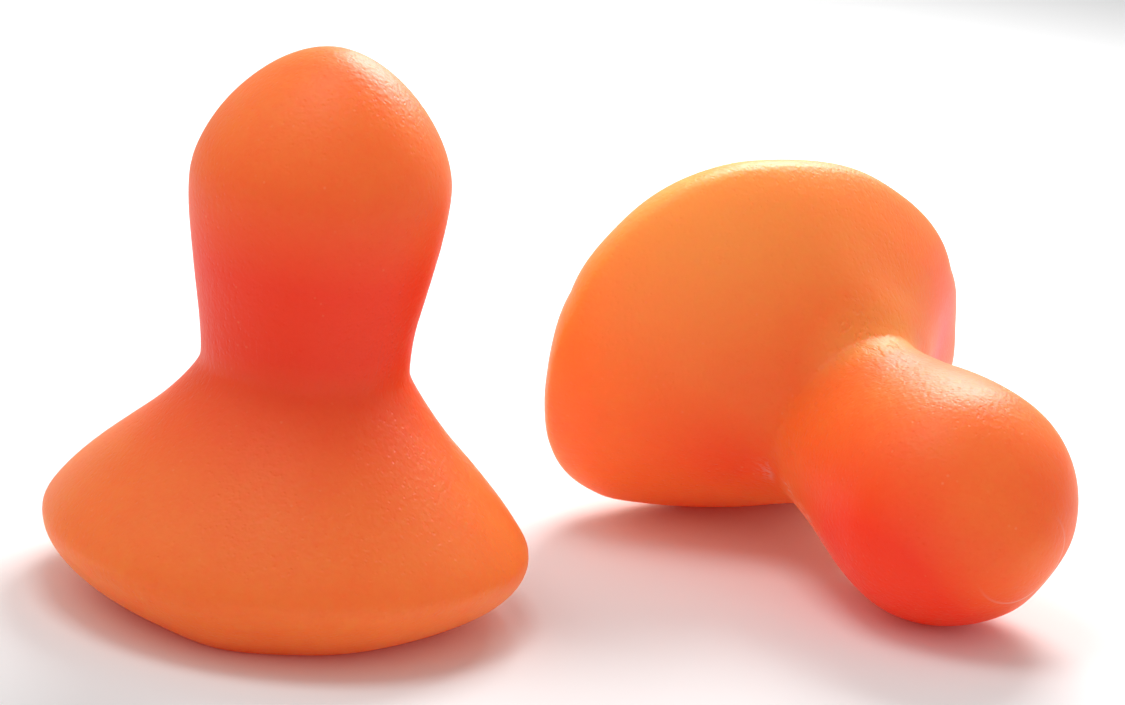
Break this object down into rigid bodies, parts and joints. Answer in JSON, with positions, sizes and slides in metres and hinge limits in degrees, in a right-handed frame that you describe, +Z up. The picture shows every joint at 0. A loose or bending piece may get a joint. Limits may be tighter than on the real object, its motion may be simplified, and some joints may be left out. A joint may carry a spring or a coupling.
{
  "type": "foam ear plugs",
  "caption": "Pair of soft moulded foam ear plugs with bulbous heads, narrow waists, wide flares and moulded-in stems, one standing and one lying down.",
  "frame": {"origin": "on the ground, under the middle of the pair's bounding box", "axes": "+Z up, along the standing plug's axis towards its tip; +X from the standing plug towards the lying one, as seen from the front; the front is -Y"},
  "size_m": [0.0462, 0.0402, 0.0253],
  "materials": {
    "orange_foam": "soft self-skinned polyurethane foam, matte orange with a faint sheen and fine pores",
    "stem_plastic": "flexible moulded plastic, off-white, satin"
  },
  "bodies": {
    "left_plug": {"left_foam_body": "orange_foam", "left_insertion_stem": "stem_plastic"},
    "right_plug": {"right_foam_body": "orange_foam", "right_insertion_stem": "stem_plastic"}
  },
  "joints": [
    {"name": "right_plug_lift", "type": "slide", "parent": "left_plug", "child": "right_plug", "axis": [0, 0, 1], "range_m": [0, 0.06]}
  ]
}
